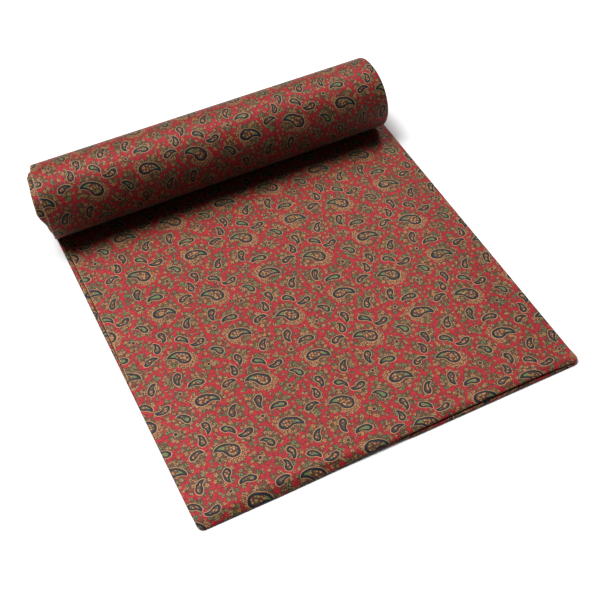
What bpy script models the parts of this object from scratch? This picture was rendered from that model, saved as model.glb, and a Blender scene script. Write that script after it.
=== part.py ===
"""Silk scarf, doubled lengthwise, lying flat at its front hem and rolled up from its far end.

Lengths are in millimetres until place() turns them into metres. "Across" runs from the left edge
to the right fold, "along" from the front hem towards the roll, and "height" up from the table.
"""
import math

import bmesh
import bpy

MM = 0.001

# The doubled cloth
WIDTH = 300.0
GAP = 0.3                  # between pieces that touch
PLY = 1.1
TURNED_PLY = 1.9           # a ply with its end turned in at the hem
TURNED_DEPTH = 9.0         # how far the turned-in end reaches back
PRESSED_PLY = 0.97         # a ply under the roll
CORNER_RADIUS = 3.0

# The roll: both plies as one wall, wound round a small flattened core
WALL = 2.2
PITCH = 2.6
CORE_HALF_WIDTH = 4.4
CORE_HALF_HEIGHT = 1.15
OUTER_OFFSET = 29.2        # from the core to the outside, where the outer turn starts
TURNS = 10.25
ROLL_ALONG = 306.0         # the roll's centre line, from the hem
OUTER_STEPS = 40           # flats round the outer turn
INNER_STEPS = 24           # flats round each inner turn
WALL_ROUND = 0.8

# The roll isn't quite square to the edges: each line across is turned by so much over the width
SKEW_AT_HEM = 1.6
SKEW_AT_ROLL = -1.3

# Rings of points along the flat stretch, counted from the hem
HEM_RINGS = (0.0, 0.35, 1.2, 2.6, 5.5, 9.0, 13.0, 20.0, 40.0)
OPEN_RINGS = (65.0, 90.0, 112.0, 122.0, 136.0, 150.0, 175.0, 200.0, 225.0, 250.0, 272.0, 286.0, 294.0)
ACROSS_STEPS = 12

RIGHT_EDGE = (
    # along, across
    (0.0, 299.9),
    (294.0, 304.2),
    (302.0, 303.0),
)

# How far the hem of each ply lies back from the front line
FACE_HEM = (
    # across, back
    (0.0, 0.0),
    (60.0, 0.0),
    (110.0, 0.9),
    (200.0, 1.9),
    (270.0, 1.7),
    (300.0, 0.7),
)
REVERSE_HEM = (
    # across, back
    (0.0, 9.0),
    (40.0, 7.0),
    (75.0, 4.0),
    (110.0, 1.0),
    (150.0, 0.0),
    (300.0, 0.0),
)

# The face ply's hem droops past the reverse ply's at the left
DROOP = (
    # across, drop
    (0.0, 1.8),
    (50.0, 1.0),
    (100.0, 0.0),
)

# The face ply's left edge, which leaves room for the strip of reverse ply rolled over the top
FACE_LEFT = (
    # along, across
    (0.0, 0.0),
    (112.0, 0.0),
    (122.0, 0.9),
    (136.0, 1.5),
    (150.0, 3.0),
    (200.0, 4.6),
    (302.0, 4.9),
)
STRIP_SHARE = (
    # along, share of the way from the edge's side to the top
    (0.0, 0.0),
    (122.0, 0.0),
    (150.0, 1.0),
)

# Soft swells of the face ply
SWELLS = (
    # across, along, half width, half length, height
    (65.0, 70.0, 62.0, 60.0, 0.9),
    (240.0, 100.0, 58.0, 65.0, 1.1),
    (130.0, 205.0, 75.0, 60.0, 0.7),
    (262.0, 215.0, 42.0, 55.0, 0.8),
)

# How far the cloth has slid out at the roll's left end, and back at its right end
SLIDES = (
    # turn, slide
    (0.00, 0.0),
    (1.00, 0.2),
    (1.20, 1.6),
    (1.50, 2.1),
    (1.90, 1.2),
    (2.30, 3.4),
    (2.50, 4.4),
    (2.72, 4.3),
    (2.82, 2.2),
    (3.20, 1.5),
    (3.60, 3.0),
    (4.50, 2.4),
    (6.00, 3.2),
    (8.00, 1.6),
    (10.3, 2.4),
)
OUTER_RIGHT = (
    # turn, across
    (0.00, 302.6),
    (0.25, 299.0),
    (0.50, 297.2),
    (1.00, 296.8),
    (10.3, 296.8),
)

# Even colours that stand for the print, red with olive, tan and navy, in linear light
FACE_COLOUR = (0.32, 0.10, 0.075)
REVERSE_COLOUR = (0.28, 0.09, 0.07)
ROLL_COLOUR = (0.26, 0.08, 0.055)
INNER_COLOUR = (0.30, 0.11, 0.07)

# The origin lies under the middle of the whole scarf
ACROSS_MIDDLE = 149.9
ALONG_MIDDLE = 169.5

# The share of a side's depth, and of half its thickness, by which each point of a rounded edge is in
ROUNDED = (
    # in from the edge, in from the face
    (0.0, 0.70),
    (0.3, 0.25),
    (1.0, 0.0),
)
CHAMFERED = (
    # in from the edge, in from the face
    (0.0, 0.45),
    (1.0, 0.0),
)


def read(table, place):
    """Reads a size from a two-column table, with straight lines between its rows."""
    for (start, low), (end, high) in zip(table, table[1:]):
        if place <= end:
            share = max(0.0, (place - start) / (end - start))
            return low + (high - low) * share
    return table[-1][1]


def place(across, along, height):
    """Gives a point's place in metres, with the slight skew of the lines across."""
    skew = SKEW_AT_HEM + (SKEW_AT_ROLL - SKEW_AT_HEM) * along / ROLL_ALONG
    turned = along + skew * (0.5 - across / WIDTH)
    return (
        (across - ACROSS_MIDDLE) * MM,
        (turned - ALONG_MIDDLE) * MM,
        height * MM,
    )


def loft(name, sections, colour):
    """Makes a closed wall from sections, each a row of outer points and a row of inner ones."""
    bm = bmesh.new()
    rings = []
    for outer, inner in sections:
        rings.append([bm.verts.new(place(*point)) for point in outer + inner[::-1]])
    count = len(rings[0])
    for near, far in zip(rings, rings[1:]):
        for i in range(count):
            j = (i + 1) % count
            bm.faces.new((near[i], near[j], far[j], far[i]))
    for ring in (rings[0], rings[-1]):
        for i in range(count // 2 - 1):
            bm.faces.new((ring[i], ring[i + 1], ring[-2 - i], ring[-1 - i]))
    bmesh.ops.recalc_face_normals(bm, faces=bm.faces)
    mesh = bpy.data.meshes.new(name)
    bm.to_mesh(mesh)
    bm.free()
    mesh.shade_smooth()
    mesh.set_sharp_from_angle(angle=math.radians(40))
    mesh.materials.append(silk(name, colour))
    piece = bpy.data.objects.new(name, mesh)
    bpy.context.collection.objects.link(piece)
    return piece


def silk(name, colour):
    """Printed silk, as one even colour."""
    material = bpy.data.materials.new(name + "_silk")
    material.use_nodes = True
    shader = material.node_tree.nodes["Principled BSDF"]
    shader.inputs["Base Color"].default_value = (*colour, 1.0)
    shader.inputs["Roughness"].default_value = 0.6
    shader.inputs["Metallic"].default_value = 0.0
    return material


def turned_in(back):
    """The share by which a ply is thickened by its turned-in end, so far back from its hem."""
    return min(1.0, max(0.0, 1.0 - (back - TURNED_DEPTH * 0.6) / (TURNED_DEPTH * 0.8)))


def ply_thickness(back, along):
    """A ply's thickness: more at its hem, and less where the roll presses on it."""
    pressed = min(1.0, max(0.0, (along - 286.0) / 12.0))
    thickness = PLY + (TURNED_PLY - PLY) * turned_in(back)
    return thickness + (PRESSED_PLY - PLY) * pressed


def hem_share(back):
    """A rounded hem is thin at its very edge, and full half a thickness further back."""
    radius = TURNED_PLY / 2
    reach = min(1.0, (back + 0.08) / radius)
    return math.sqrt(1.0 - (1.0 - reach) ** 2)


def corner_inset(back):
    """How far a rounded corner comes in from the side, so far back from the hem."""
    reach = max(0.0, CORNER_RADIUS - back - 0.05)
    return CORNER_RADIUS - math.sqrt(CORNER_RADIUS ** 2 - reach ** 2)


def swell(across, along):
    """The height of the face ply's soft swells."""
    height = 0.0
    for centre, middle, half_width, half_length, top in SWELLS:
        away = math.hypot((across - centre) / half_width, (along - middle) / half_length)
        if away < 1.0:
            height += top * (0.5 + 0.5 * math.cos(math.pi * away))
    return height


def flat_rings():
    """The places of the rings along the flat stretch, up to the middle of the roll."""
    last = ROLL_ALONG - CORE_HALF_WIDTH - GAP / 2
    return HEM_RINGS + OPEN_RINGS + (last - 3.5, last)


def edged(left, right, depth, shape):
    """Places across a wall with shaped edges, each with its share in from the face."""
    row = [(left + depth * side, face) for side, face in shape]
    span = (right - left - 2 * depth) / ACROSS_STEPS
    row += [(left + depth + span * i, 0.0) for i in range(1, ACROSS_STEPS)]
    row += [(right - depth * side, face) for side, face in reversed(shape)]
    return row


def rest_height(across, along):
    """What the face ply lies on: the reverse ply, or less where that one's hem lies further back."""
    back = read(REVERSE_HEM, across)
    droop = read(DROOP, across) * min(1.0, max(0.0, 1.0 - along / max(back, 0.1)))
    return ply_thickness(max(0.0, along - back), along) - droop


def face_ply():
    """The upper ply of the flat stretch, with rounded sides and a rounded, turned-in hem."""
    sections = []
    for ring in flat_rings():
        inset = corner_inset(ring)
        left = read(FACE_LEFT, ring) + inset
        right = read(RIGHT_EDGE, ring) - inset
        upper = []
        lower = []
        for across, rounding in edged(left, right, PLY, ROUNDED):
            along = ring + read(FACE_HEM, across) * max(0.0, 1.0 - ring / 20.0)
            bottom = rest_height(across, along) + GAP + swell(across, along)
            half = ply_thickness(ring, along) / 2
            middle = bottom + half
            upper.append((across, along, middle + half * hem_share(ring) * (1.0 - rounding)))
            lower.append((across, along, middle - half * hem_share(ring)))
        sections.append((upper, lower))
    return loft("flat_face_ply", sections, FACE_COLOUR)


def left_strip(ply, stack, width, share):
    """Outer and inner points of the reverse ply's left side, from its end round to the bottom.

    With a share of 0 the ply ends at the edge, and with 1 it is rolled over the whole stack of
    plies and ends so far in on the top. Shares between lie between the two.
    """
    slot = (stack - 2 * ply) / 2
    middle = stack / 2
    ended = (
        # outer across, outer height, inner across, inner height
        (0.00, ply, 0.25, ply),
        (0.00, 0.92 * ply, 0.45, ply),
        (0.00, 0.84 * ply, 0.65, ply),
        (0.00, 0.70 * ply, 0.80, ply),
        (0.00, 0.55 * ply, 0.95, ply),
        (0.35, 0.25 * ply, 1.15, ply),
        (1.30, 0.00, 1.35, ply),
    )
    rolled = (
        # outer across, outer height, inner across, inner height
        (width, stack, width, middle + slot),
        (1.30, stack, 1.35, middle + slot),
        (0.35, stack - 0.30, 1.25, middle + 0.6 * slot),
        (0.00, middle + 0.35, 1.20, middle + 0.2 * slot),
        (0.00, middle - 0.35, 1.20, middle - 0.2 * slot),
        (0.35, 0.30, 1.25, middle - 0.6 * slot),
        (1.30, 0.00, 1.35, middle - slot),
    )
    rows = []
    for start, end in zip(ended, rolled):
        rows.append([low + (high - low) * share for low, high in zip(start, end)])
    return [row[:2] for row in rows], [row[2:] for row in rows]


def reverse_ply():
    """The lower ply, flat underneath, with its left side rolled over the top near the roll."""
    sections = []
    for ring in flat_rings():
        inset = corner_inset(ring)
        right = read(RIGHT_EDGE, ring) - inset
        ply = ply_thickness(ring, ring)
        stack = 2 * ply + GAP
        width = max(read(FACE_LEFT, ring) - GAP, 1.45)
        outside, inside = left_strip(ply, stack, width, read(STRIP_SHARE, ring))
        lines = [[(inset + across, height) for across, height in row] for row in (outside, inside)]
        for across, rounding in edged(inset + 0.5, right, PLY, ROUNDED)[len(ROUNDED):]:
            lines[0].append((across, ply / 2 * rounding))
            lines[1].append((across, ply))
        section = []
        for line in lines:
            row = []
            for across, height in line:
                along = ring + read(REVERSE_HEM, across) * max(0.0, 1.0 - ring / 60.0)
                middle = ply / 2
                if ring < HEM_RINGS[-1]:
                    height = middle + (height - middle) * hem_share(ring)
                row.append((across, along, height))
            section.append(row)
        sections.append(section)
    return loft("flat_reverse_ply", sections, REVERSE_COLOUR)


def roll_point(turn, depth, at_front=False):
    """Along and height of a point of the roll's wall, so deep under its outer side.

    The turns count from the bottom, where the core is flat, and go up the roll's back. The core
    is a flat line with an ellipse's half over it.
    """
    angle = 2 * math.pi * (turn % 1.0)
    out_along, out_up = math.sin(angle), -math.cos(angle)
    if math.cos(angle) > 1e-9:
        front = at_front or turn % 1.0 > 0.5
        core_along = -CORE_HALF_WIDTH if front else CORE_HALF_WIDTH
        core_up = 0.0
    else:
        tall = 2 * CORE_HALF_HEIGHT
        reach = math.hypot(CORE_HALF_WIDTH * out_along, tall * out_up)
        core_along = CORE_HALF_WIDTH ** 2 * out_along / reach
        core_up = tall ** 2 * out_up / reach
    offset = OUTER_OFFSET - PITCH * turn - depth
    return (
        ROLL_ALONG + core_along + offset * out_along,
        OUTER_OFFSET + core_up + offset * out_up,
    )


def wound(name, first, last, steps, shape, colour):
    """A stretch of the wound wall between two turns, with so many flats in a turn."""
    stops = [(first, True)]
    count = round((last - first) * steps)
    for i in range(count + 1):
        turn = first + i / steps
        if i and i % steps == 0:
            stops.append((turn, True))
        if i < count or i % steps:
            stops.append((turn, False))
    sections = []
    for stop, (turn, at_front) in enumerate(stops):
        left = -read(SLIDES, turn)
        right = read(OUTER_RIGHT, turn) + left
        outer = []
        inner = []
        sides = [(left + WALL_ROUND * side, face) for side, face in shape]
        sides += [(right - WALL_ROUND * side, face) for side, face in reversed(shape)]
        for across, rounding in sides:
            for row, depth in ((outer, WALL / 2 * rounding), (inner, WALL - WALL / 2 * rounding)):
                along, height = roll_point(turn, depth, at_front)
                if stop == 0:
                    along += GAP / 2
                if stop == len(stops) - 1 and at_front:
                    along -= GAP / 2
                row.append((across, along, height))
        sections.append((outer, inner))
    return loft(name, sections, colour)


def main():
    """Clears the scene and builds the four pieces."""
    for thing in list(bpy.data.objects):
        bpy.data.objects.remove(thing, do_unlink=True)
    face_ply()
    reverse_ply()
    wound("roll_outer_turn", 0.0, 1.0, OUTER_STEPS, ROUNDED, ROLL_COLOUR)
    wound("roll_inner_turns", 1.0, TURNS, INNER_STEPS, CHAMFERED, INNER_COLOUR)


main()
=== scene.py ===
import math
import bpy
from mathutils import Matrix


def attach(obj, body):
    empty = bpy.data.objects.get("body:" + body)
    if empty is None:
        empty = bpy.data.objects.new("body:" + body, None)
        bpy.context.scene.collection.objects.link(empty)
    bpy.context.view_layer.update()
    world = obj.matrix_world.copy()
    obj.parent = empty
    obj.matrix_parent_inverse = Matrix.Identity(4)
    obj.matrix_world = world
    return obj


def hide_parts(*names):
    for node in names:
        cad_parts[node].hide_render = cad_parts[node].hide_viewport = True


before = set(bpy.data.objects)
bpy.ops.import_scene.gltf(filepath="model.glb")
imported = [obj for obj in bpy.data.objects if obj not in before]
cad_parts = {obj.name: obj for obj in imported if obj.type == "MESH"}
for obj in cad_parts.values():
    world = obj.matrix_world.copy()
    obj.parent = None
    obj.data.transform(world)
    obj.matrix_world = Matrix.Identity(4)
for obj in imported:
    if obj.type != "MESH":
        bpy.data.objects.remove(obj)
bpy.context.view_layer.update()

# A silk scarf sewn as a flat tube, printed with paisley, lying flat at its front hem and rolled
# up from its far end. Lengths are in millimetres until place() turns them into metres. "Across"
# runs from the seam on the left to the fold on the right, "along" from the front hem to the roll.
from types import SimpleNamespace

import bpy
from mathutils import Matrix, Vector

MM = 0.001

# The doubled cloth, as the solids have it
WIDTH = 300.0
GAP = 0.3
PLY = 1.1
TURNED_PLY = 1.9              # a ply with its end turned in at the hem
TURNED_DEPTH = 9.0            # how far back that end reaches
PRESSED_PLY = 0.97            # a ply under the roll
PRESSED_FROM = 286.0          # where the roll begins to press on it
PRESSED_LENGTH = 12.0
SKEW_AT_HEM = 1.6             # each line across is turned by so much over the width
SKEW_AT_ROLL = -1.3
ACROSS_MIDDLE = 149.9         # the origin lies under the middle of the whole scarf
ALONG_MIDDLE = 169.5

# The softer forms of the flat stretch
CORNER_RADIUS = 4.5
LOFT = 1.9                    # how far the face ply stands off the reverse ply away from its edges
LOFT_FRONT = 21.0             # over this length it sinks to its hem
LOFT_SIDE = 32.0              # over this width it sinks to its sides
LEFT_OF_LOFT = 4.0            # it starts here at the left
LOFT_END = 285.0              # here it has sunk to nothing in front of the roll
LOFT_BACK = 30.0              # over this length
TURNED_CLOTH = 0.62           # one thickness of cloth, where it is turned in at the hem
HEM_TAPER = 0.42              # the share by which the face ply thins at its hem
HEM_TAPER_DEPTH = 10.0
HEM_FLATNESS = 1.6            # a power above 1 keeps the hem's underside flat for longer
LIP_LENGTH = 16.0             # how far back the lifted hem reaches
FACE_HEM_FADE = 20.0          # how far back the face ply's uneven hem still shifts its rows
REVERSE_HEM_FADE = 60.0       # the same for the reverse ply's
EASING = 0.03                 # the share of a table's length over which its corners are rounded
STRIP_LEAST = 1.45            # the narrowest strip of the reverse ply that turns over the left edge
INNER_RADIUS_LEAST = 0.12     # inside the right fold

# The roll: both plies wound round a small flattened core
WALL = 2.2
PITCH = 2.6
CORE_HALF_WIDTH = 4.4
CORE_HALF_HEIGHT = 1.15
OUTER_OFFSET = 29.2
TURNS = 10.25
ROLL_ALONG = 306.0
WOUND_PLY = 0.98
OUTER_STEPS = 120             # stations round the outer turn
INNER_STEPS = 36              # stations round each inner turn
PINCH = 3.4                   # how far the inner turns draw in at the roll's left end
PINCH_WIDTH = 13.0

RIGHT_EDGE = (
    # along, across of the tube's right fold
    (0.0, 299.9),
    (294.0, 304.2),
    (302.0, 303.0),
)
FACE_HEM = (
    # across, how far back the face ply's hem lies
    (0.0, 0.0),
    (60.0, 0.0),
    (110.0, 0.9),
    (200.0, 1.9),
    (270.0, 1.7),
    (300.0, 0.7),
)
REVERSE_HEM = (
    # across, how far back the reverse ply's hem lies
    (0.0, 9.0),
    (50.0, 9.0),
    (95.0, 7.0),
    (130.0, 2.5),
    (160.0, 0.0),
    (300.0, 0.0),
)
DROOP = (
    # across, drop of the face ply's hem past the reverse ply's
    (0.0, 2.0),
    (60.0, 1.9),
    (100.0, 1.6),
    (130.0, 0.6),
    (160.0, 0.0),
)
FACE_LEFT = (
    # along, across of the face ply's left edge
    (0.0, 0.0),
    (112.0, 0.0),
    (122.0, 0.7),
    (136.0, 1.2),
    (150.0, 2.0),
    (200.0, 3.3),
    (302.0, 3.9),
)
LIP = (
    # across, how far the face ply's hem lifts off the reverse ply's
    (110.0, 0.0),
    (160.0, 0.5),
    (215.0, 0.35),
    (262.0, 0.6),
    (292.0, 0.1),
    (300.0, 0.0),
)
STRIP_SHARE = (
    # along, how far the reverse ply is rolled over the left edge
    (0.0, 0.0),
    (122.0, 0.0),
    (150.0, 1.0),
)
SWELLS = (
    # across, along, half width, half length, height
    (65.0, 70.0, 62.0, 60.0, 0.9),
    (240.0, 100.0, 58.0, 65.0, 1.1),
    (130.0, 205.0, 75.0, 60.0, 0.7),
    (262.0, 215.0, 42.0, 55.0, 0.8),
)
SLIDES = (
    # turn, how far the cloth has slid out at the roll's left end
    (0.00, -0.6),
    (0.38, -0.3),
    (0.42, 1.2),
    (0.48, 4.0),
    (0.56, 5.7),
    (0.62, 5.8),
    (0.69, 5.2),
    (0.765, 4.4),
    (0.86, 2.5),
    (1.00, 0.9),
    (1.20, 2.2),
    (1.40, 4.6),
    (1.49, 7.6),
    (1.555, 9.8),
    (1.61, 10.6),
    (1.665, 11.0),
    (1.71, 9.0),
    (1.735, 6.4),
    (1.78, 5.6),
    (1.88, 3.0),
    (2.00, 1.8),
    (2.30, 4.4),
    (2.50, 8.2),
    (2.62, 8.8),
    (2.70, 6.4),
    (2.74, 7.4),
    (2.77, 4.0),
    (3.00, 1.9),
    (3.40, 3.8),
    (3.60, 6.6),
    (3.72, 5.6),
    (3.86, 3.4),
    (4.50, 3.6),
    (6.00, 3.2),
    (8.00, 1.6),
    (10.3, 2.4),
)
ROLL_RIGHT = (
    # turn, across of the roll's right fold
    (0.00, 303.2),
    (0.25, 299.2),
    (0.50, 297.2),
    (1.00, 296.8),
    (1.50, 293.5),
    (4.00, 292.4),
    (8.00, 295.2),
    (10.3, 294.4),
)

# How finely the cloth is divided
EDGE_TURNS = tuple(math.radians(angle) for angle in (8, 25, 45, 65, 90))
FOLD_TURNS = tuple(math.radians(angle) for angle in range(90, -91, -15))
TOP_COLUMNS = 75
BOTTOM_COLUMNS = 30
OUTER_COLUMNS = tuple(i / 60 for i in range(61))
INNER_COLUMNS = (0.0, 0.002, 0.006, 0.015, 0.04, 0.1, 0.3, 0.7, 0.9, 0.96, 0.985, 0.994, 1.0)

# The print repeats on a square lattice turned by 45 degrees, which gives rows that drop by half
REPEAT = 62.0
HALF_DROP = math.radians(45)

FLOWER, SMALL, GREEN_SMALL, LARGE = 0, 1, 2, 3
MOTIFS = (
    # across, along, direction of the horn, radius of the bulb, length, bend, kind
    (0.0, 0.0, 122, 5.3, 1.10, -1, LARGE),
    (42.0, 3.0, 8, 4.7, 1.25, 1, LARGE),
    (16.0, 8.5, 205, 2.8, 1.40, 1, SMALL),
    (3.0, 17.5, 335, 2.7, 1.35, 1, GREEN_SMALL),
    (-15.5, 15.0, 65, 2.8, 1.20, -1, SMALL),
    (-10.5, -14.0, 235, 2.9, 1.35, -1, SMALL),
    (26.0, -6.0, 110, 2.9, 1.25, -1, GREEN_SMALL),
    (62.5, 8.0, 30, 2.7, 1.40, 1, SMALL),
    (46.0, 19.0, 160, 2.9, 1.50, -1, GREEN_SMALL),
    (56.0, -16.5, 75, 2.8, 1.35, 1, SMALL),
    (35.5, -17.5, 290, 2.8, 1.25, 1, SMALL),
    (14.5, -13.5, 0, 1.3, 1.00, 1, FLOWER),
    (30.0, 15.5, 0, 1.2, 1.00, 1, FLOWER),
)
KIND_STEP = 100.0             # kind and radius travel as one number: kind times this, plus radius

# A paisley drop: a round bulb of radius 1 and a horn that bends round a circle
BEND_RADIUS = 1.7
HORN_ANGLE = 1.5
HORN_TAPER = 0.75
DROP_MIDDLE = 0.9             # how far towards its horn a drop is held to have its middle
DROP_CLAIM = 1.7              # how many of its radii a drop counts as nearer than it is

# Distances in the print
WOBBLE = 0.9                  # how far the hand-cut lines stray
WOBBLE_SCALE = 0.22           # waves in a millimetre
MOTTLE_SCALE = 0.5            # patches of uneven dye in a millimetre
MOTTLE_RANGE = (0.36, 0.6)    # the noise at which the red is deepest and brightest
RIB_SHADE_IN_MOTTLE = 0.14          # how much the twill rib adds to that noise, as painted shade in its grooves
PALE_LINE = 0.48              # round each drop
NAVY_LINE = 1.75              # inside it, in a large drop
SMALL_NAVY_LINE = 1.4         # and in a small one
DARK_LINE = 0.3               # half the line round a flower in a cluster
CHANNEL = 0.55                # half the red ground between two clusters, before scalloping
SCALLOP = 1.45                # how strongly the flowers scallop a cluster's border
CLEAR = 0.45                  # no cluster comes so near to a drop
VEIN_START = 3.3              # the ground shows in a cluster so far from its flowers, as follows:
                              # the way to a large one and half that to a small one, added up
LEAF_DEPTH = 0.3              # width of the dark border of a cluster
FLOWER_INSET = 0.2            # flowers keep so far inside a cluster
SMALL_EYE = 0.3               # radius of a flower's middle dot
LARGE_EYE = 0.55
HALO_WIDTH = 4.4              # from a large drop's outline
HALO_RAGGED = 1.2             # by which it is narrower between the flecks
HALO_CLEAR = 0.9              # a halo stops so far from the next motif
BIT_INSET = 0.18              # the tiny flowers inside a drop are so much smaller all round
EDGE_LINE = 0.95              # the bare edge of the cloth, which shows at the left
EDGE_HIDDEN = (60.0, 62.0)    # middle and half length of the stretch along where it is out of sight
TWILL_PITCH = 1.1             # the real rib is half as far apart, too fine to show at this size
TWILL_HEIGHT = 0.05

# Small flowers: spacing, petals, depth of the cuts between them, shift of their pattern
LARGE_FLOWERS = (4.2, 5, 0.16, (0.0, 0.0, 0.0))
SMALL_FLOWERS = (2.3, 4, 0.2, (37.3, 11.9, 0.0))
DROP_FLOWERS = (2.1, 4, 0.15, (71.0, 3.0, 0.0))
LEAST_FLOWER = 0.8            # the smallest flower, as a share of its cell
FLOWER_SPREAD = 0.35          # and how much larger one can be

# Flecks lie on cells of their own, whose distances are shares of the spacing
FLECK_SPACING = 1.25
FLECK_REACH = 0.33
STIPPLE_FROM = 0.5
HALO_FROM = -0.08             # angle along the horn, so that the halo keeps to the bulb

# Each flower has a chance from 0 to 1, which picks its colours
NAVY_EYED = (0.68, 0.07)      # middle and half width of the chances with a navy dot
BRIGHT_BITS = 0.45            # above it a tiny flower in a drop is tan, or else pale
GREEN_BITS = 0.16             # below this it is green
GREEN_HALF = 0.6              # in a green drop the whole cell is green below this
TIP_ANGLE = 0.7               # a drop is green from so far along its horn

# Dyes, as hex colours
RED_DEEP = "6E151D"
RED_BRIGHT = "9D1E26"
NAVY = "191D25"
PALE = "A27853"
TAN = "98704A"
OCHRE = "A46C3B"
OLIVE = "736842"
GREEN = "637044"
GREEN_FILL = "5C683E"
BROWN = "3C281C"
ROSE = "4F3121"
FILL = "775B3C"
HALO = "5E3822"
STIPPLE = "4C3524"
EDGE = "9E8064"
PAPER = "E4E4E4"

FLOWER_COLOURS = (
    # chance from which the colour is used, colour
    (0.0, TAN),
    (0.26, OLIVE),
    (0.48, OCHRE),
    (0.61, GREEN),
    (0.75, TAN),
)
LAST_OLIVE_SMALL = 0.9
LAST_OLIVE_LARGE = 0.88

PRINT_MAP = "cloth_mm"

# The studio, in metres, watts and degrees
FLOOR_SIZE = 2.6
FLOOR_HEIGHT = -0.0002
FILL_LIGHT = 0.12             # the pale studio walls are seen white, and light the cloth this much
GAMMA = 0.88                  # below 1, it deepens the tones of the cloth under strong light
LIGHTS = (
    # name, place, size, power
    ("soft_light_left", (-1.6, 1.7, 5.2), 2.7, 478.0),
    ("soft_light_right", (3.0, 3.4, 4.9), 2.2, 165.0),
)
CAMERA_PLACE = (-0.226289, -0.471061, 0.596632)
CAMERA_ASIDE = 26.447
CAMERA_DOWN = 50.089
CAMERA_ROLL = 0.547
LENS = 60.919                 # millimetres, like the sensor
SENSOR = 36.0


def read(table, where):
    """Reads a size from a two-column table, with straight lines between its rows."""
    for (start, low), (end, high) in zip(table, table[1:]):
        if where <= end:
            share = max(0.0, (where - start) / (end - start))
            return low + (high - low) * share
    return table[-1][1]


def eased(table, where):
    """Reads a size from a two-column table, rounded off where its lines meet."""
    reach = EASING * (table[-1][0] - table[0][0])
    return sum(read(table, where + reach * step) for step in (-1.0, -0.5, 0.0, 0.5, 1.0)) / 5


def place(across, along, height):
    """Gives a point's place in metres, with the slight skew of the lines across."""
    skew = SKEW_AT_HEM + (SKEW_AT_ROLL - SKEW_AT_HEM) * along / ROLL_ALONG
    turned = along + skew * (0.5 - across / WIDTH)
    return (
        (across - ACROSS_MIDDLE) * MM,
        (turned - ALONG_MIDDLE) * MM,
        height * MM,
    )


def between(one, other, share):
    """A point so far between two others."""
    return tuple(a + (b - a) * share for a, b in zip(one, other))


def turned_in(back):
    """The share by which a ply is thickened by its turned-in end, so far back from its hem."""
    return min(1.0, max(0.0, 1.0 - (back - TURNED_DEPTH * 0.6) / (TURNED_DEPTH * 0.8)))


def ply_thickness(back, along):
    """A ply's thickness: more at its hem, and less where the roll presses on it."""
    pressed = min(1.0, max(0.0, (along - PRESSED_FROM) / PRESSED_LENGTH))
    return PLY + (TURNED_PLY - PLY) * turned_in(back) + (PRESSED_PLY - PLY) * pressed


def corner_inset(back):
    """How far a rounded corner comes in from the side, so far back from the hem."""
    reach = max(0.0, CORNER_RADIUS - back)
    return CORNER_RADIUS - math.sqrt(CORNER_RADIUS ** 2 - reach ** 2)


def swell(across, along):
    """The height of the face ply's soft swells."""
    height = 0.0
    for centre, middle, half_width, half_length, top in SWELLS:
        away = math.hypot((across - centre) / half_width, (along - middle) / half_length)
        if away < 1.0:
            height += top * (0.5 + 0.5 * math.cos(math.pi * away))
    return height


def loft(across, along):
    """How far the face ply stands off the reverse ply: nothing at its edges and under the roll."""
    rise = 1.0 - (1.0 - min(1.0, max(0.0, along) / LOFT_FRONT)) ** 3
    sides = ((across - LEFT_OF_LOFT) / LOFT_SIDE, (WIDTH - across) / LOFT_SIDE)
    for room in (*sides, (LOFT_END - along) / LOFT_BACK):
        share = min(1.0, max(0.0, room))
        rise *= share * share * (3.0 - 2.0 * share)
    return LOFT * rise


def rest_height(across, along):
    """What the face ply lies on: the reverse ply, or less where that one's hem lies further back."""
    back = read(REVERSE_HEM, across)
    droop = read(DROOP, across) * min(1.0, max(0.0, 1.0 - along / max(back, 0.1)))
    return ply_thickness(max(0.0, along - back), along) - droop


def smooth_line(points, steps):
    """A smooth line through points, with so many steps between each two."""
    line = []
    last = len(points) - 1
    for i in range(last):
        before, start, end, after = (points[min(max(i + k, 0), last)] for k in (-1, 0, 1, 2))
        for step in range(steps):
            t = step / steps
            line.append(tuple(
                0.5 * (2 * b + (c - a) * t + (2 * a - 5 * b + 4 * c - d) * t ** 2
                       + (3 * b - a - 3 * c + d) * t ** 3)
                for a, b, c, d in zip(before, start, end, after)
            ))
    return line + [tuple(points[last])]


def left_strip(ply, stack, width, share):
    """The reverse ply's left side, from its end round to the bottom: rows of outer and inner places.

    With a share of 0 the ply ends at the edge, and with 1 it is rolled over the whole stack of
    plies and ends so far in on the top.
    """
    slot = (stack - 2 * ply) / 2
    middle = stack / 2
    ended = (
        # outer across, outer height, inner across, inner height
        (0.00, ply, 0.25, ply),
        (0.00, 0.92 * ply, 0.45, ply),
        (0.00, 0.84 * ply, 0.65, ply),
        (0.00, 0.70 * ply, 0.80, ply),
        (0.00, 0.55 * ply, 0.95, ply),
        (0.35, 0.25 * ply, 1.15, ply),
        (1.30, 0.00, 1.35, ply),
    )
    rolled = (
        # outer across, outer height, inner across, inner height
        (width, stack, width, middle + slot),
        (1.30, stack, 1.35, middle + slot),
        (0.35, stack - 0.30, 1.25, middle + 0.6 * slot),
        (0.00, middle + 0.35, 1.20, middle + 0.2 * slot),
        (0.00, middle - 0.35, 1.20, middle - 0.2 * slot),
        (0.35, 0.30, 1.25, middle - 0.6 * slot),
        (1.30, 0.00, 1.35, middle - slot),
    )
    return smooth_line([between(start, end, share) for start, end in zip(ended, rolled)], 3)


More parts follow.
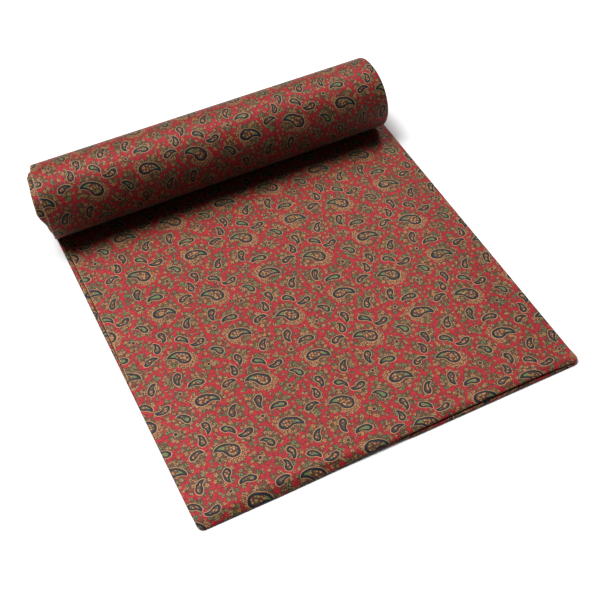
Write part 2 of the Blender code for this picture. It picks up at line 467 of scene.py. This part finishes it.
def flat_section(back):
    """The tube's section so far back from the hem: pairs of points on the outside and the inside.

    It starts at the face ply's left edge, runs over the top, round the right fold and back
    underneath, and ends with the reverse ply's left edge.
    """
    inset = corner_inset(back)
    left = eased(FACE_LEFT, back) + inset
    right = read(RIGHT_EDGE, back) - inset
    near = max(0.0, 1.0 - back / FACE_HEM_FADE)
    near_reverse = max(0.0, 1.0 - back / REVERSE_HEM_FADE)
    thickness = ply_thickness(back, back)
    face = thickness * (1.0 - HEM_TAPER * max(0.0, 1.0 - back / HEM_TAPER_DEPTH) ** 2)
    pairs = []

    def face_pair(across, rounding):
        along = back + read(FACE_HEM, across) * near
        bottom = rest_height(across, along) + GAP + swell(across, along) + loft(across, along)
        bottom += read(LIP, across) * max(0.0, 1.0 - along / LIP_LENGTH) ** 2
        bottom += face / 2 * rounding
        top = bottom + face * (1.0 - rounding)
        return (across, along, top), (across, along, bottom)

    top_at_right = face_pair(right - 2.0, 0.0)[0][2]
    radius = top_at_right / 2
    for turn in EDGE_TURNS[:-1]:
        pairs.append(face_pair(left + thickness / 2 * (1 - math.cos(turn)), 1 - math.sin(turn)))
    start = left + thickness / 2
    span = right - radius - start
    for i in range(TOP_COLUMNS):
        pairs.append(face_pair(start + span * i / TOP_COLUMNS, 0.0))
    for turn in FOLD_TURNS:
        share = 0.5 - 0.5 * math.sin(turn)
        hem = read(FACE_HEM, right) * near * (1 - share) + read(REVERSE_HEM, right) * share * near_reverse
        pair = []
        for reach in (radius, max(radius - thickness, INNER_RADIUS_LEAST)):
            across = right - radius + reach * math.cos(turn)
            pair.append((across, back + hem, radius + reach * math.sin(turn)))
        pairs.append(tuple(pair))
    strip = left_strip(
        thickness, 2 * thickness + GAP, max(eased(FACE_LEFT, back) - GAP, STRIP_LEAST),
        eased(STRIP_SHARE, back),
    )
    first_bottom = inset + strip[-1][0]
    span = right - radius - first_bottom
    for i in range(1, BOTTOM_COLUMNS):
        across = right - radius - span * i / BOTTOM_COLUMNS
        along = back + read(REVERSE_HEM, across) * near_reverse
        pairs.append(((across, along, 0.0), (across, along, thickness)))
    for outer_across, outer_height, inner_across, inner_height in reversed(strip):
        pair = []
        for across, height in ((outer_across, outer_height), (inner_across, inner_height)):
            along = back + read(REVERSE_HEM, across) * near_reverse
            pair.append((inset + across, along, height))
        pairs.append(tuple(pair))
    outer, inner = pairs[-1]
    pairs[-1] = (between(outer, inner, 0.3), between(outer, inner, 0.7))
    return pairs


def hem_rows():
    """Rows round the turned-in hem: places back and in from the outside, for the cloth's two sides."""
    radius = TURNED_PLY / 2
    rows = []
    for back in (TURNED_DEPTH, 7.0, 4.8, 3.0, 1.9):
        rows.append((back, 1.0, back, 1.0 - TURNED_CLOTH / TURNED_PLY, radius * (2 - math.pi) - back))
    for angle in range(0, 181, 18):
        turn = math.radians(angle)
        places = []
        for reach in (radius, radius - TURNED_CLOTH):
            places += [radius - reach * math.sin(turn), (radius + reach * math.cos(turn)) / TURNED_PLY]
        rows.append((*places, radius - radius * (math.pi - turn)))
    return rows


def flat_rows():
    """All rows of the flat stretch, from inside the hem to the middle of the roll."""
    rows = hem_rows()
    backs = [1.4, 2.0, 2.8, 3.7, 4.7, 5.8, 7.0, 8.2, 9.4, 10.7, 12.0, 13.5, 15.5, 18.0]
    last = ROLL_ALONG - CORE_HALF_WIDTH - GAP / 2
    backs += [20.0 + 4.6 * i for i in range(60)] + [last - 3.5, last]
    for back in backs:
        inside = min(1.0, max(0.0, (back - TURNED_DEPTH) / 3.0))
        share = TURNED_CLOTH / TURNED_PLY
        rows.append((back, 0.0, back, share + (1.0 - share) * inside, back))
    return rows


def measured(line, start):
    """Distances along a line of points, from the first one's own value."""
    values = [start]
    for one, other in zip(line, line[1:]):
        values.append(values[-1] + math.dist(one, other))
    return values


def flat_cloth():
    """The flat stretch: a tube of cloth with its front end turned in and its seam at the left."""
    rows = []
    for back, depth, inner_back, inner_depth, printed_along in flat_rows():
        pairs = []
        for one, other in zip(flat_section(back), flat_section(inner_back)):
            if one[0][2] < one[1][2]:
                flattened = depth ** HEM_FLATNESS
                pairs.append((between(*one, flattened), between(*other, inner_depth ** HEM_FLATNESS)))
            else:
                pairs.append((between(*one, depth), between(*other, inner_depth)))
        printed_across = measured([outer for outer, inner in pairs], corner_inset(back))
        rows.append((pairs, printed_across, printed_along))
    return cloth("flat_cloth", rows, "printed_silk_face", "flat_face_ply", "flat_reverse_ply")


def roll_point(turn, depth, at_front=False):
    """Along and height of a point of the roll's wall, so deep under its outer side."""
    angle = 2 * math.pi * (turn % 1.0)
    out_along, out_up = math.sin(angle), -math.cos(angle)
    if math.cos(angle) > 1e-9:
        front = at_front or turn % 1.0 > 0.5
        core_along = -CORE_HALF_WIDTH if front else CORE_HALF_WIDTH
        core_up = 0.0
    else:
        tall = 2 * CORE_HALF_HEIGHT
        reach = math.hypot(CORE_HALF_WIDTH * out_along, tall * out_up)
        core_along = CORE_HALF_WIDTH ** 2 * out_along / reach
        core_up = tall ** 2 * out_up / reach
    offset = OUTER_OFFSET - PITCH * turn - depth
    return (
        ROLL_ALONG + core_along + offset * out_along,
        OUTER_OFFSET + core_up + offset * out_up,
    )


def wound_section(left, right, columns):
    """Places across and depths of the wound wall's two plies: pairs for outside and inside."""
    half = WOUND_PLY / 2
    pairs = []
    for turn in EDGE_TURNS[:-1]:
        across = left + half * (1 - math.cos(turn))
        pairs.append(((across, half - half * math.sin(turn)), (across, half + half * math.sin(turn))))
    radius = WALL / 2
    start, end = left + half, right - radius
    places = [start + (end - start) * share for share in columns]
    pairs += [((across, 0.0), (across, WOUND_PLY)) for across in places[:-1]]
    for turn in FOLD_TURNS:
        pairs.append(tuple(
            (end + reach * math.cos(turn), radius - reach * math.sin(turn))
            for reach in (radius, radius - WOUND_PLY)
        ))
    pairs += [((across, WALL), (across, WALL - WOUND_PLY)) for across in reversed(places[:-1])]
    for turn in reversed(EDGE_TURNS[:-1]):
        across = left + half * (1 - math.cos(turn))
        middle = WALL - half
        pairs.append(((across, middle + half * math.sin(turn)), (across, middle - half * math.sin(turn))))
    return pairs


def wound_cloth(name, first, last, steps, columns, node):
    """A stretch of the doubled cloth wound between two turns, with so many stations in a turn."""
    stops = [(first, True)]
    count = round((last - first) * steps)
    for i in range(count + 1):
        if i and i % steps == 0:
            stops.append((first + i / steps, True))
        if i < count or i % steps:
            stops.append((first + i / steps, False))
    rows = []
    printed_along = 0.0
    earlier = None
    for stop, (turn, at_front) in enumerate(stops):
        left = -read(SLIDES, turn)
        right = read(ROLL_RIGHT, turn)
        nudge = 0.0
        if stop == 0:
            nudge = GAP / 2
        if stop == len(stops) - 1 and at_front:
            nudge = -GAP / 2
        pinch = PINCH * (TURNS - turn) / (TURNS - 1.0) if first else 0.0
        pairs = []
        for sides in wound_section(left, right, columns):
            pair = []
            for across, depth in sides:
                drawn_in = pinch * max(0.0, 1.0 - (across - left) / PINCH_WIDTH) ** 2
                along, height = roll_point(turn, depth + drawn_in, at_front)
                pair.append((across, along + nudge, height))
            pairs.append(tuple(pair))
        first_top = len(EDGE_TURNS) - 1
        spine = pairs[first_top][0][1:]
        if earlier:
            printed_along += math.dist(spine, earlier)
        earlier = spine
        printed_across = measured([outer for outer, inner in pairs], 0.0)
        rows.append((pairs, printed_across, -printed_along))
    return cloth(name, rows, "printed_silk_reverse" if first == 0 else "printed_silk_face", node)


def select_nothing():
    """Leaves edit mode and deselects every object."""
    if bpy.context.object and bpy.context.object.mode != "OBJECT":
        bpy.ops.object.mode_set(mode="OBJECT")
    bpy.ops.object.select_all(action="DESELECT")


def cloth(name, rows, slot, *nodes):
    """Makes a closed piece of cloth from rows of pairs of points, one on each of its sides.

    A grid is wrapped round each row, out along the outside and back along the inside. At both
    ends it closes on the cloth's middle. The print's map holds its places on the cloth.
    """
    closing = []
    for pairs, printed_across, printed_along in (rows[0], rows[-1]):
        middles = [between(*pair, 0.5) for pair in pairs]
        closing.append(([(middle, middle) for middle in middles], printed_across, printed_along))
    rows = [closing[0], *rows, closing[1]]
    columns = 2 * len(rows[0][0])
    select_nothing()
    bpy.ops.mesh.primitive_grid_add(
        x_subdivisions=columns, y_subdivisions=len(rows) - 1, size=2, calc_uvs=True,
    )
    piece = bpy.context.object
    piece.name = name
    mesh = piece.data
    mesh.name = name
    mesh.uv_layers[0].name = "OFBake"
    printed = mesh.uv_layers.new(name=PRINT_MAP)
    lines = []
    for pairs, printed_across, printed_along in rows:
        outer = [pair[0] for pair in pairs]
        inner = [pair[1] for pair in pairs]
        far = printed_across[-1] + 1.0
        mapped = printed_across + [2 * far - value for value in reversed(printed_across)]
        line = [
            (place(*point), (value, printed_along))
            for point, value in zip(outer + inner[::-1], mapped)
        ]
        lines.append(line + [(line[0][0], (mapped[-1] + 1.0, printed_along))])
    spots = []
    for vertex in mesh.vertices:
        column = round((vertex.co.x + 1) / 2 * columns)
        row = round((vertex.co.y + 1) / 2 * (len(rows) - 1))
        spots.append(lines[row][column])
    for vertex, spot in zip(mesh.vertices, spots):
        vertex.co = spot[0]
    for loop in mesh.loops:
        printed.data[loop.index].uv = spots[loop.vertex_index][1]
    bpy.ops.object.mode_set(mode="EDIT")
    bpy.ops.mesh.select_all(action="SELECT")
    bpy.ops.mesh.remove_doubles(threshold=1e-6)
    bpy.ops.mesh.normals_make_consistent(inside=False)
    bpy.ops.object.mode_set(mode="OBJECT")
    bpy.ops.object.shade_smooth()
    piece.data.materials.append(printed_silk())
    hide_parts(*nodes)
    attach(piece, "root")
    return piece


def linear(text):
    """Turns a hex colour in sRGB into linear light."""
    values = [int(text[i:i + 2], 16) / 255 for i in (0, 2, 4)]
    return [v / 12.92 if v <= 0.04045 else ((v + 0.055) / 1.055) ** 2.4 for v in values] + [1.0]


def add(tree, kind, *values, out=0, sockets=None, **settings):
    """Adds a node of a kind with its settings, and links or sets its sockets in their order."""
    made = tree.nodes.new("ShaderNode" + kind)
    for name, value in settings.items():
        setattr(made, name, value)
    wanted = dict(enumerate(values))
    wanted.update(sockets or {})
    for key, value in wanted.items():
        if isinstance(value, bpy.types.NodeSocket):
            tree.links.new(value, made.inputs[key])
        elif value is not None:
            made.inputs[key].default_value = value
    return made.outputs[out]


def nearest_motif(tree, spot):
    """Finds the motif nearest a place in the repeat.

    Gives the place in that motif's own frame, where its bulb has radius 1, with its kind and
    radius as the third number. Also gives how far the border to the next motif is.
    """
    turned = add(tree, "VectorRotate", spot, sockets={"Angle": HALF_DROP}, rotation_type="Z_AXIS")
    nearest = None
    for across, along, heading, radius, length, bend, kind in MOTIFS:
        x = (across - along) * math.cos(HALF_DROP)
        y = (across + along) * math.cos(HALF_DROP)
        reach = radius * (DROP_MIDDLE if kind else 0.0)
        bulge = math.radians(heading) + HALF_DROP
        middle = (x + reach * math.cos(bulge), y + reach * math.sin(bulge), 0.0)
        least = (x - REPEAT / 2, y - REPEAT / 2, -1.0)
        most = (x + REPEAT / 2, y + REPEAT / 2, 1.0)
        wrapped = add(tree, "VectorMath", turned, most, least, operation="WRAP")
        away = add(tree, "VectorMath", wrapped, middle, out=1, operation="DISTANCE")
        score = add(tree, "Math", away, radius * (DROP_CLAIM if kind else 1.0), operation="SUBTRACT")
        own = add(
            tree, "Mapping", wrapped,
            (x, y, -KIND_STEP * kind - radius),
            (0.0, 0.0, bulge),
            (radius * length, radius * bend, 1.0),
            vector_type="TEXTURE",
        )
        if nearest is None:
            nearest, best, second = own, score, 1000.0
            continue
        larger = add(tree, "Math", best, score, operation="MAXIMUM")
        second = add(tree, "Math", second, larger, operation="MINIMUM")
        closer = add(tree, "Math", score, best, operation="LESS_THAN")
        nearest = add(
            tree, "Mix", closer, sockets={4: nearest, 5: own}, out=1, data_type="VECTOR",
        )
        best = add(tree, "Math", best, score, operation="MINIMUM")
    border = add(tree, "Math", second, best, operation="SUBTRACT")
    return nearest, add(tree, "Math", border, 0.5, operation="MULTIPLY")


def drop_distance(tree, own):
    """The distance from a paisley drop's outline, less than 0 inside, and the angle along its horn."""
    bulb = add(tree, "VectorMath", own, out=1, operation="LENGTH")
    bulb = add(tree, "Math", bulb, 1.0, operation="SUBTRACT")
    from_bend = add(tree, "VectorMath", own, (0.0, BEND_RADIUS, 0.0), operation="ADD")
    parts = add(tree, "SeparateXYZ", from_bend).node
    angle = add(tree, "Math", parts.outputs[0], parts.outputs[1], operation="ARCTAN2")
    held = add(tree, "Clamp", angle, 0.0, HORN_ANGLE)
    past = add(tree, "Math", angle, held, operation="SUBTRACT")
    past = add(tree, "Math", past, operation="ABSOLUTE")
    taper = add(tree, "Math", held, -1.0 / HORN_ANGLE, 1.0, operation="MULTIPLY_ADD")
    width = add(tree, "Math", taper, HORN_TAPER, operation="POWER")
    from_spine = add(tree, "VectorMath", from_bend, out=1, operation="LENGTH")
    from_spine = add(tree, "Math", from_spine, BEND_RADIUS, operation="SUBTRACT")
    from_spine = add(tree, "Math", from_spine, operation="ABSOLUTE")
    horn = add(tree, "Math", from_spine, width, operation="SUBTRACT")
    horn = add(tree, "Math", past, BEND_RADIUS, horn, operation="MULTIPLY_ADD")
    return add(tree, "Math", bulb, horn, operation="MINIMUM"), angle


def flowers(tree, spot, spacing, lobes, depth, shift):
    """Small flowers: the distance from the nearest one's outline and its middle, and a chance."""
    moved = add(tree, "VectorMath", spot, shift, operation="ADD")
    cell = add(
        tree, "TexVoronoi", sockets={"Vector": moved, "Scale": 1.0 / spacing, "Randomness": 0.75},
        voronoi_dimensions="2D", feature="F1",
    ).node
    own = add(tree, "VectorMath", moved, cell.outputs["Position"], operation="SUBTRACT")
    away = add(tree, "VectorMath", own, out=1, operation="LENGTH")
    parts = add(tree, "SeparateXYZ", own).node
    chance = add(tree, "SeparateColor", cell.outputs["Color"]).node
    angle = add(tree, "Math", parts.outputs[1], parts.outputs[0], operation="ARCTAN2")
    turn = add(tree, "Math", chance.outputs[0], 2 * math.pi, operation="MULTIPLY")
    petal = add(tree, "Math", angle, float(lobes), turn, operation="MULTIPLY_ADD")
    petal = add(tree, "Math", petal, operation="COSINE")
    reach = add(tree, "Math", petal, 0.5 * depth * spacing, 0.5 * (1 - depth) * spacing,
                operation="MULTIPLY_ADD")
    size = add(tree, "Math", chance.outputs[1], FLOWER_SPREAD, LEAST_FLOWER,
               operation="MULTIPLY_ADD")
    reach = add(tree, "Math", reach, size, operation="MULTIPLY")
    return add(tree, "Math", away, reach, operation="SUBTRACT"), away, chance.outputs[2]


def paint(tree, colour, mask, over):
    """Lays a colour over another where the mask is 1."""
    return add(tree, "Mix", mask, sockets={6: colour, 7: over}, out=2, data_type="RGBA")


def below(tree, value, limit):
    """1 where a value is less than a limit, or else 0."""
    return add(tree, "Math", value, limit, operation="LESS_THAN")


def both(tree, one, other):
    """The part that two masks share."""
    return add(tree, "Math", one, other, operation="MULTIPLY")


def twill_rib(tree, spot):
    """The slanting rib of the twill, as a wave from -1 to 1."""
    rib = add(tree, "VectorMath", spot, (1.0, 1.0, 0.0), out=1, operation="DOT_PRODUCT")
    rib = add(tree, "Math", rib, math.pi * math.sqrt(2.0) / TWILL_PITCH, operation="MULTIPLY")
    return add(tree, "Math", rib, operation="SINE")


def hand_drawn(tree, spot):
    """A place moved a little, so that the lines waver like hand-cut ones."""
    wobble = add(tree, "TexNoise", sockets={"Vector": spot, "Scale": WOBBLE_SCALE, "Detail": 1.0},
                 out=1, noise_dimensions="2D")
    wobble = add(tree, "VectorMath", wobble, (0.5, 0.5, 0.5), operation="SUBTRACT")
    wobble = add(tree, "VectorMath", wobble, (WOBBLE, WOBBLE, 0.0), operation="MULTIPLY")
    return add(tree, "VectorMath", spot, wobble, operation="ADD")


def motif_here(tree, drawn):
    """The motif at a place: its outline's distance in millimetres, its kind and its border."""
    own, border = nearest_motif(tree, drawn)
    code = add(tree, "SeparateXYZ", own, out=2)
    kind = add(tree, "Math", code, 1.0 / KIND_STEP, operation="MULTIPLY")
    kind = add(tree, "Math", kind, operation="FLOOR")
    radius = add(tree, "Math", kind, -KIND_STEP, code, operation="MULTIPLY_ADD")
    flat = add(tree, "VectorMath", own, (1.0, 1.0, 0.0), operation="MULTIPLY")
    drop, along_horn = drop_distance(tree, flat)
    ball = add(tree, "VectorMath", flat, out=1, operation="LENGTH")
    ball = add(tree, "Math", ball, 1.0, operation="SUBTRACT")
    is_drop = add(tree, "Math", kind, 0.5, operation="GREATER_THAN")
    shape = add(tree, "Mix", is_drop, sockets={2: ball, 3: drop}, data_type="FLOAT")
    return SimpleNamespace(
        outline=add(tree, "Math", shape, radius, operation="MULTIPLY"),
        along_horn=along_horn,
        border=border,
        is_drop=is_drop,
        is_green=add(tree, "Math", kind, float(GREEN_SMALL), 0.5, operation="COMPARE"),
        is_large=add(tree, "Math", kind, LARGE - 0.5, operation="GREATER_THAN"),
    )


def ground(tree, spot):
    """The red ground, with patches of uneven dye and painted shade in the twill rib's grooves, and that
    mix.
    """
    dye_and_rib_shade = add(tree, "TexNoise", sockets={"Vector": spot, "Scale": MOTTLE_SCALE, "Detail": 4.0},
                 noise_dimensions="2D")
    # The twill rib paints the red a little darker in its grooves, as shade, over the uneven dye
    dye_and_rib_shade = add(tree, "Math", twill_rib(tree, spot), RIB_SHADE_IN_MOTTLE, dye_and_rib_shade,
                 operation="MULTIPLY_ADD")
    dye_and_rib_shade = add(tree, "MapRange", dye_and_rib_shade, *MOTTLE_RANGE)
    return paint(tree, linear(RED_DEEP), dye_and_rib_shade, linear(RED_BRIGHT)), dye_and_rib_shade


def clusters(tree, colour, drawn, motif):
    """Clusters of leaves and flowers round each motif, scalloped where they meet the channels.

    Also gives how far outside the clusters a place is, less than 0 inside.
    """
    large_edge, large_away, large_chance = flowers(tree, drawn, *LARGE_FLOWERS)
    small_edge, small_away, small_chance = flowers(tree, drawn, *SMALL_FLOWERS)
    strait = add(tree, "Math", CHANNEL - 1.5 * SCALLOP, motif.border, operation="SUBTRACT")
    strait = add(tree, "Math", large_away, SCALLOP, strait, operation="MULTIPLY_ADD")
    strait = add(tree, "Math", small_away, 0.5, strait, operation="MULTIPLY_ADD")
    room = add(tree, "Math", CLEAR, motif.outline, operation="SUBTRACT")
    room = add(tree, "Math", room, strait, operation="MAXIMUM")
    vein = add(tree, "Math", small_away, 0.5, large_away, operation="MULTIPLY_ADD")
    vein = add(tree, "Math", vein, VEIN_START, operation="SUBTRACT")
    room = add(tree, "Math", room, vein, operation="MAXIMUM")
    colour = paint(tree, colour, below(tree, room, 0.0), linear(BROWN))
    colour = paint(tree, colour, below(tree, room, -LEAF_DEPTH), linear(FILL))
    for edge, away, chance, eye, last_olive in (
        (small_edge, small_away, small_chance, SMALL_EYE, LAST_OLIVE_SMALL),
        (large_edge, large_away, large_chance, LARGE_EYE, LAST_OLIVE_LARGE),
    ):
        colour = one_size_of_flowers(tree, colour, edge, away, chance, eye, last_olive, room)
    return colour, room


def one_size_of_flowers(tree, colour, edge, away, chance, eye, last_olive, room):
    """Lays flowers of one size over the clusters, each with a dark line, a colour and an eye."""
    edge = add(tree, "Math", edge, room, operation="MAXIMUM")
    ramp = add(tree, "ValToRGB", chance).node
    ramp.color_ramp.interpolation = "CONSTANT"
    for i, (position, name) in enumerate((*FLOWER_COLOURS, (last_olive, OLIVE))):
        element = ramp.color_ramp.elements[i] if i < 2 else ramp.color_ramp.elements.new(position)
        element.position = position
        element.color = linear(name)
    lined = both(tree, below(tree, edge, DARK_LINE), below(tree, room, -FLOWER_INSET))
    colour = paint(tree, colour, lined, linear(BROWN))
    inside = below(tree, edge, -DARK_LINE)
    colour = paint(tree, colour, inside, ramp.outputs[0])
    centre = both(tree, below(tree, away, eye), inside)
    navy_eyed = add(tree, "Math", chance, *NAVY_EYED, operation="COMPARE")
    return paint(tree, colour, centre, paint(tree, linear(FILL), navy_eyed, linear(NAVY)))


def flecks(tree, colour, drawn, motif, room):
    """The stippling of the clusters, and a halo of flecks round the bulb of each large drop."""
    fleck_cell = add(
        tree, "TexVoronoi",
        sockets={"Vector": drawn, "Scale": 1 / FLECK_SPACING, "Randomness": 0.7},
        voronoi_dimensions="2D",
    )
    stipple = add(tree, "Math", fleck_cell, STIPPLE_FROM, operation="GREATER_THAN")
    stipple = both(tree, stipple, below(tree, room, -LEAF_DEPTH))
    colour = paint(tree, colour, stipple, linear(STIPPLE))
    wide = add(tree, "Math", fleck_cell, -HALO_RAGGED, HALO_WIDTH, operation="MULTIPLY_ADD")
    halo = both(tree, below(tree, motif.along_horn, HALO_FROM), below(tree, motif.outline, wide))
    halo = both(tree, halo, motif.is_large)
    halo = both(tree, halo, add(tree, "Math", motif.border, HALO_CLEAR, operation="GREATER_THAN"))
    fleck = below(tree, fleck_cell, FLECK_REACH)
    return paint(tree, colour, halo, paint(tree, linear(HALO), fleck, linear(PALE)))


def drops(tree, colour, drawn, motif):
    """The drops and round flowers: pale line, navy line, and in a drop a fill of tiny flowers."""
    colour = paint(tree, colour, below(tree, motif.outline, PALE_LINE), linear(PALE))
    colour = paint(tree, colour, below(tree, motif.outline, 0.0), linear(NAVY))
    fill_edge, _, fill_chance = flowers(tree, drawn, *DROP_FLOWERS)
    bits = below(tree, fill_edge, -BIT_INSET)
    bright = add(tree, "Math", fill_chance, BRIGHT_BITS, operation="GREATER_THAN")
    fill = paint(tree, linear(ROSE), bits, paint(tree, linear(PALE), bright, linear(TAN)))
    tip = add(tree, "Math", motif.along_horn, TIP_ANGLE, operation="GREATER_THAN")
    leafy = both(tree, below(tree, fill_chance, GREEN_BITS), bits)
    leafy = add(tree, "Math", leafy, tip, operation="MAXIMUM")
    half = both(tree, below(tree, fill_chance, GREEN_HALF), motif.is_green)
    leafy = add(tree, "Math", leafy, half, operation="MAXIMUM")
    fill = paint(tree, fill, leafy, linear(GREEN_FILL))
    line = add(tree, "Mix", motif.is_large, sockets={2: -SMALL_NAVY_LINE, 3: -NAVY_LINE},
               data_type="FLOAT")
    inside = both(tree, below(tree, motif.outline, line), motif.is_drop)
    return paint(tree, colour, inside, fill)


def bare_edge(tree, colour, spot, dye_and_rib_shade):
    """The pale edge of the cloth at its seam, where the print stops short."""
    parts = add(tree, "SeparateXYZ", spot).node
    hidden = add(tree, "Math", parts.outputs[1], *EDGE_HIDDEN, operation="COMPARE")
    shown = add(tree, "Math", 1.0, hidden, operation="SUBTRACT")
    at_edge = both(tree, below(tree, parts.outputs[0], EDGE_LINE), shown)
    return paint(tree, colour, both(tree, at_edge, dye_and_rib_shade), linear(EDGE))


def print_group():
    """A node group that gives the print's colour for a place on the cloth in millimetres."""
    tree = bpy.data.node_groups.new("paisley_print", "ShaderNodeTree")
    tree.interface.new_socket("Place", in_out="INPUT", socket_type="NodeSocketVector")
    tree.interface.new_socket("Colour", in_out="OUTPUT", socket_type="NodeSocketColor")
    spot = tree.nodes.new("NodeGroupInput").outputs[0]
    drawn = hand_drawn(tree, spot)
    motif = motif_here(tree, drawn)
    colour, dye_and_rib_shade = ground(tree, spot)
    colour, room = clusters(tree, colour, drawn, motif)
    colour = flecks(tree, colour, drawn, motif, room)
    colour = drops(tree, colour, drawn, motif)
    colour = bare_edge(tree, colour, spot, dye_and_rib_shade)
    exit_node = tree.nodes.new("NodeGroupOutput")
    tree.links.new(colour, exit_node.inputs[0])
    return tree


def printed_silk():
    """Printed silk twill: a soft gloss that takes the dye's colour, over a fine slanting rib.

    The part-metallic value tints the highlights as silk does, the sheen pales the cloth where it
    turns away, and the rib breaks up the light.
    """
    if "printed_silk_twill" in bpy.data.materials:
        return bpy.data.materials["printed_silk_twill"]
    material = bpy.data.materials.new("printed_silk_twill")
    material.use_nodes = True
    tree = material.node_tree
    shader = tree.nodes["Principled BSDF"]
    spot = add(tree, "UVMap", uv_map=PRINT_MAP)
    group = tree.nodes.new("ShaderNodeGroup")
    group.node_tree = print_group()
    tree.links.new(spot, group.inputs[0])
    tree.links.new(group.outputs[0], shader.inputs["Base Color"])
    height = twill_rib(tree, spot)
    bump = add(tree, "Bump",
               sockets={"Height": height, "Strength": 0.6, "Distance": TWILL_HEIGHT * MM})
    tree.links.new(bump, shader.inputs["Normal"])
    shader.inputs["Metallic"].default_value = 0.3
    shader.inputs["Roughness"].default_value = 0.58
    shader.inputs["Specular IOR Level"].default_value = 0.42
    shader.inputs["Sheen Weight"].default_value = 0.1
    shader.inputs["Sheen Roughness"].default_value = 0.4
    return material


def white_paper():
    """Matt white paper, which melts into the bright studio walls and takes soft shadows."""
    paper = bpy.data.materials.new("white_paper")
    paper.use_nodes = True
    shader = paper.node_tree.nodes["Principled BSDF"]
    shader.inputs["Base Color"].default_value = linear(PAPER)
    shader.inputs["Roughness"].default_value = 0.9
    return paper


def studio_floor():
    """The pale floor that the scarf lies on."""
    select_nothing()
    bpy.ops.mesh.primitive_plane_add(size=FLOOR_SIZE, location=(0.0, 0.0, FLOOR_HEIGHT))
    floor = bpy.context.object
    floor.name = "studio_floor"
    floor.data.materials.append(white_paper())


def studio_light():
    """A white backdrop with a faint fill, and two large soft lights above and behind."""
    world = bpy.data.worlds.new("studio")
    world.use_nodes = True
    background = world.node_tree.nodes["Background"]
    background.inputs["Color"].default_value = (1.0, 1.0, 1.0, 1.0)
    path = add(world.node_tree, "LightPath")
    seen = add(world.node_tree, "MapRange", path, 0.0, 1.0, FILL_LIGHT, 1.0)
    world.node_tree.links.new(seen, background.inputs["Strength"])
    bpy.context.scene.world = world
    for name, spot, size, power in LIGHTS:
        light = bpy.data.lights.new(name, "AREA")
        light.size = size
        light.energy = power
        lamp = bpy.data.objects.new(name, light)
        lamp.location = spot
        lamp.rotation_euler = Vector(spot).to_track_quat("Z", "Y").to_euler()
        bpy.context.scene.collection.objects.link(lamp)
    bpy.context.scene.view_settings.view_transform = "Standard"
    bpy.context.scene.view_settings.gamma = GAMMA


def studio_camera():
    """The camera, in front of the hem and to its left, as a fit to the photo's outline puts it."""
    camera = bpy.data.cameras.new("camera")
    camera.lens = LENS
    camera.sensor_width = SENSOR
    holder = bpy.data.objects.new("camera", camera)
    turned = (
        Matrix.Rotation(math.radians(-CAMERA_ASIDE), 4, "Z")
        @ Matrix.Rotation(math.radians(90 - CAMERA_DOWN), 4, "X")
        @ Matrix.Rotation(math.radians(-CAMERA_ROLL), 4, "Z")
    )
    holder.matrix_world = Matrix.Translation(CAMERA_PLACE) @ turned
    bpy.context.scene.collection.objects.link(holder)
    bpy.context.scene.camera = holder


flat = flat_cloth()
outer = wound_cloth("roll_outer_cloth", 0.0, 1.0, OUTER_STEPS, OUTER_COLUMNS, "roll_outer_turn")
inner = wound_cloth("roll_inner_cloth", 1.0, TURNS, INNER_STEPS, INNER_COLUMNS, "roll_inner_turns")
studio_floor()
studio_light()
studio_camera()
